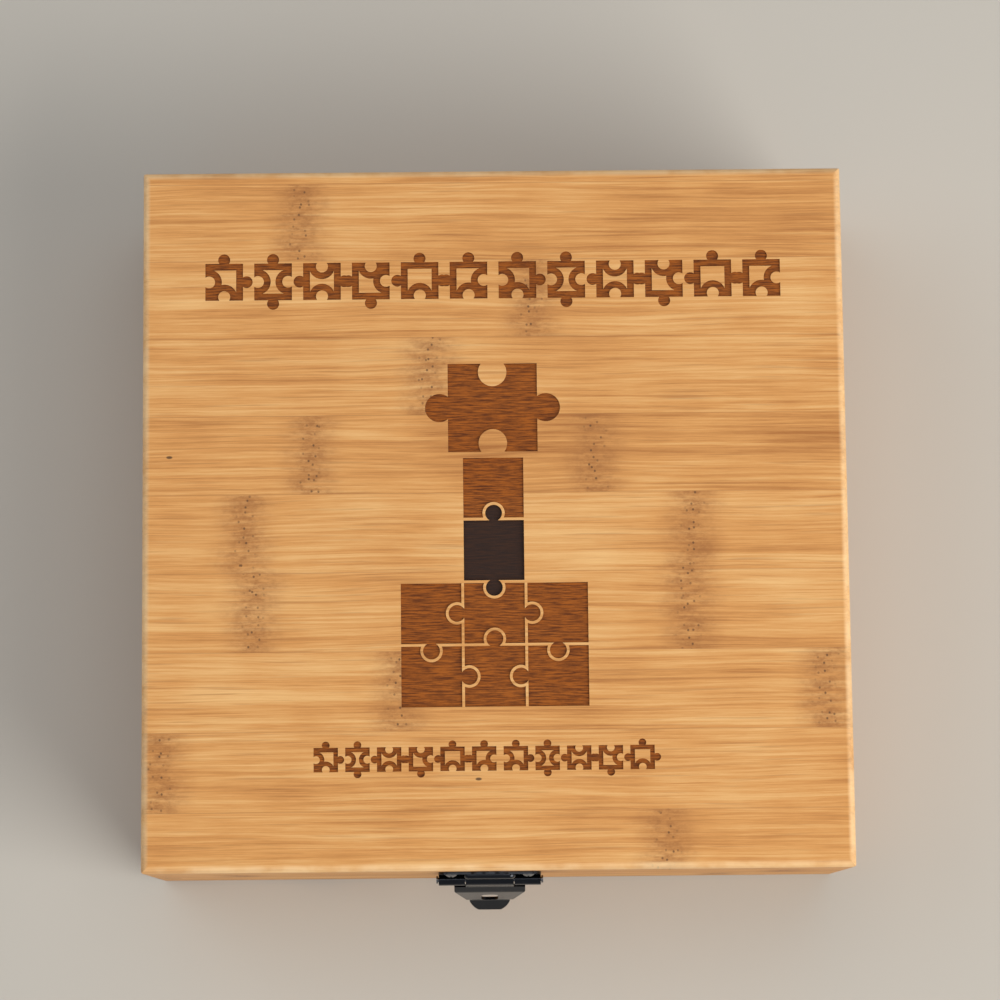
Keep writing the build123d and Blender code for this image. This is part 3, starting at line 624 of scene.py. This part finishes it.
def grid_places(side, cell, wander, chance):
    """Middles of a side by side grid of cells, each moved by up to wander."""
    line = (np.arange(side) - (side - 1) / 2) * cell
    x, y = np.meshgrid(line, line)
    return np.stack([x.ravel(), y.ravel()], -1) + chance.uniform(-wander, wander, (side * side, 2))


def settled_layout(chance):
    """The place, turn and sides of every settled piece, layer by layer from the lowest."""
    places, turns, kinds, heights = [], [], [], []
    room = high_corner[0] - low_corner[0]
    strewn = settled_count - dense_layers * dense_side**2
    for layer in range(layer_count):
        if layer < dense_layers:
            # These knobs all point to the right and the back, so the grid stands half a knob to the left and front.
            middles = grid_places(dense_side, (room - dense_margin) / (dense_side - 1), dense_wander, chance)
            middles -= (knob_centre + knob_radius) / 2
            angle = chance.uniform(-dense_turn, dense_turn, len(middles))
            sides = np.tile([1, 1, -1, -1], (len(middles), 1))
        else:
            middles = grid_places(strewn_side, (room - strewn_margin) / (strewn_side - 1), strewn_wander, chance)
            share = strewn // 2 if layer == dense_layers else strewn - strewn // 2
            middles = chance.permutation(middles)[:share]
            angle = chance.uniform(0, 360, len(middles))
            sides = chance.choice([-1, 1], (len(middles), 4))
        places.append(middles)
        turns.append(np.radians(angle))
        kinds.append(sides)
        heights.append(np.full(len(middles), low_corner[2] + layer * layer_pitch))
    return np.concatenate(places), np.concatenate(turns), np.concatenate(kinds), np.concatenate(heights)


print("points in an outline", outlines(np.ones((1, 4))).shape[1])


# %% Build the settled pieces
def prisms(shapes, low, high):
    """Closed prisms: each outline once at the low height and once at the high one, with walls between."""
    count, points, _ = shapes.shape
    ring = np.arange(points)
    bottom = np.concatenate([shapes, np.broadcast_to(low[:, None, None], (count, points, 1))], -1)
    upper = np.concatenate([shapes, np.broadcast_to(high[:, None, None], (count, points, 1))], -1)
    vertices = np.concatenate([bottom, upper], 1).reshape(-1, 3) * MM
    walls = np.stack([ring, np.roll(ring, -1), np.roll(ring, -1) + points, ring + points], -1)
    first = (np.arange(count) * points * 2)[:, None]
    faces = (first[:, :, None] + walls[None]).reshape(-1, 4).tolist()
    faces += (first + ring[::-1]).tolist() + (first + points + ring).tolist()
    owner = np.concatenate([np.repeat(np.arange(count), points), np.arange(count), np.arange(count)])
    return vertices, faces, owner


chance = np.random.default_rng(7)
middles, turns, kinds, bottoms = settled_layout(chance)
shapes = outlines(kinds)
cosines, sines = np.cos(turns)[:, None], np.sin(turns)[:, None]
shapes = np.stack([shapes[..., 0] * cosines - shapes[..., 1] * sines,
                   shapes[..., 0] * sines + shapes[..., 1] * cosines], -1) + middles[:, None, :]
vertices, faces, owner = prisms(shapes, bottoms, bottoms + card_thickness)
heap_mesh = bpy.data.meshes.new("settled_heap")
heap_mesh.from_pydata(vertices.tolist(), [], faces)
heap_mesh.update()
upright = (chance.random(len(middles)) < picture_up_share).astype(float)
mark_faces(heap_mesh, owner, upright, flat_face_up, 5)
heap_mesh.materials.append(card)
heap = bpy.data.objects.new("settled_heap", heap_mesh)
bpy.context.scene.collection.objects.link(heap)
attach(heap, "base")
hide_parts("settled_pieces")
low, high = vertices.min(0) / MM, vertices.max(0) / MM
print("heap", len(middles), "pieces", len(heap_mesh.polygons), "faces", low.round(1), high.round(1))
